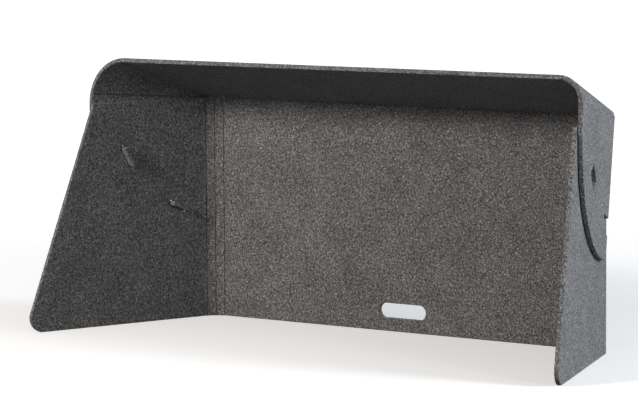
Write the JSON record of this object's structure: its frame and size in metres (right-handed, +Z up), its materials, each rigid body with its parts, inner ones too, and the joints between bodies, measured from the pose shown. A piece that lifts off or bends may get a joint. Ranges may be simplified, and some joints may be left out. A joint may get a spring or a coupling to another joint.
{
  "type": "study carrel",
  "caption": "Desk-top study carrel folded from grey felt board: splayed wings, a rising hood with rounded corners, side flaps tabbed into the wings, and a cable slot in the back.",
  "frame": {"origin": "on the desk, at the centre of the footprint", "axes": "+X along the back panel to the reader's right, +Y away from the reader, +Z up"},
  "size_m": [1.3976, 0.4798, 0.6161],
  "materials": {
    "felt": "mottled grey pressed felt board, matte"
  },
  "bodies": {
    "shell": {"back_panel": "felt", "hood_fold": "felt", "hood_panel": "felt", "left_corner_strip_rear": "felt", "left_hood_corner_upper": "felt", "right_corner_strip_rear": "felt", "right_hood_corner_upper": "felt"},
    "left_wing": {"left_corner_strip_front": "felt", "left_wing_panel": "felt"},
    "left_flap": {"left_hood_corner_lower": "felt", "left_side_flap": "felt"},
    "left_front_tab": {"left_front_tab": "felt"},
    "left_rear_tab": {"left_rear_tab": "felt"},
    "right_wing": {"right_corner_strip_front": "felt", "right_wing_panel": "felt"},
    "right_flap": {"right_hood_corner_lower": "felt", "right_side_flap": "felt"},
    "right_front_tab": {"right_front_tab": "felt"},
    "right_rear_tab": {"right_rear_tab": "felt"}
  },
  "joints": [
    {"name": "left_wing_fold", "type": "hinge", "parent": "shell", "child": "left_wing", "pos_m": [-0.52338, 0.22662, 0], "axis": [0, 0, 1], "range_deg": [0, 19.2]},
    {"name": "left_flap_fold", "type": "hinge", "parent": "shell", "child": "left_flap", "pos_m": [-0.544, 0.23307, 0.51769], "axis": [0.2028, 0.9492, -0.2407], "range_deg": [0, 84.3]},
    {"name": "left_front_tab_fold", "type": "hinge", "parent": "left_flap", "child": "left_front_tab", "pos_m": [-0.62367, 0.01559, 0.38747], "axis": [-0.1544, -0.4434, 0.8829], "range_deg": [0, 90]},
    {"name": "left_rear_tab_fold", "type": "hinge", "parent": "left_flap", "child": "left_rear_tab", "pos_m": [-0.57934, 0.14289, 0.26716], "axis": [-0.306, -0.8787, 0.3665], "range_deg": [0, 90]},
    {"name": "right_wing_fold", "type": "hinge", "parent": "shell", "child": "right_wing", "pos_m": [0.52338, 0.22662, 0], "axis": [0, 0, -1], "range_deg": [0, 19.2]},
    {"name": "right_flap_fold", "type": "hinge", "parent": "shell", "child": "right_flap", "pos_m": [0.54385, 0.23367, 0.51753], "axis": [0.2679, -0.9257, 0.267], "range_deg": [0, 84.3]},
    {"name": "right_front_tab_fold", "type": "hinge", "parent": "right_flap", "child": "right_front_tab", "pos_m": [0.62367, 0.01559, 0.38747], "axis": [-0.1544, 0.4434, -0.8829], "range_deg": [0, 90]},
    {"name": "right_rear_tab_fold", "type": "hinge", "parent": "right_flap", "child": "right_rear_tab", "pos_m": [0.57934, 0.14289, 0.26716], "axis": [-0.306, 0.8787, -0.3665], "range_deg": [0, 90]}
  ],
  "couplings": [
    {"joint": "left_front_tab_fold", "follows": "left_flap_fold", "ratio": 1.0676},
    {"joint": "left_rear_tab_fold", "follows": "left_flap_fold", "ratio": 1.0676},
    {"joint": "right_front_tab_fold", "follows": "right_flap_fold", "ratio": 1.0676},
    {"joint": "right_rear_tab_fold", "follows": "right_flap_fold", "ratio": 1.0676}
  ]
}
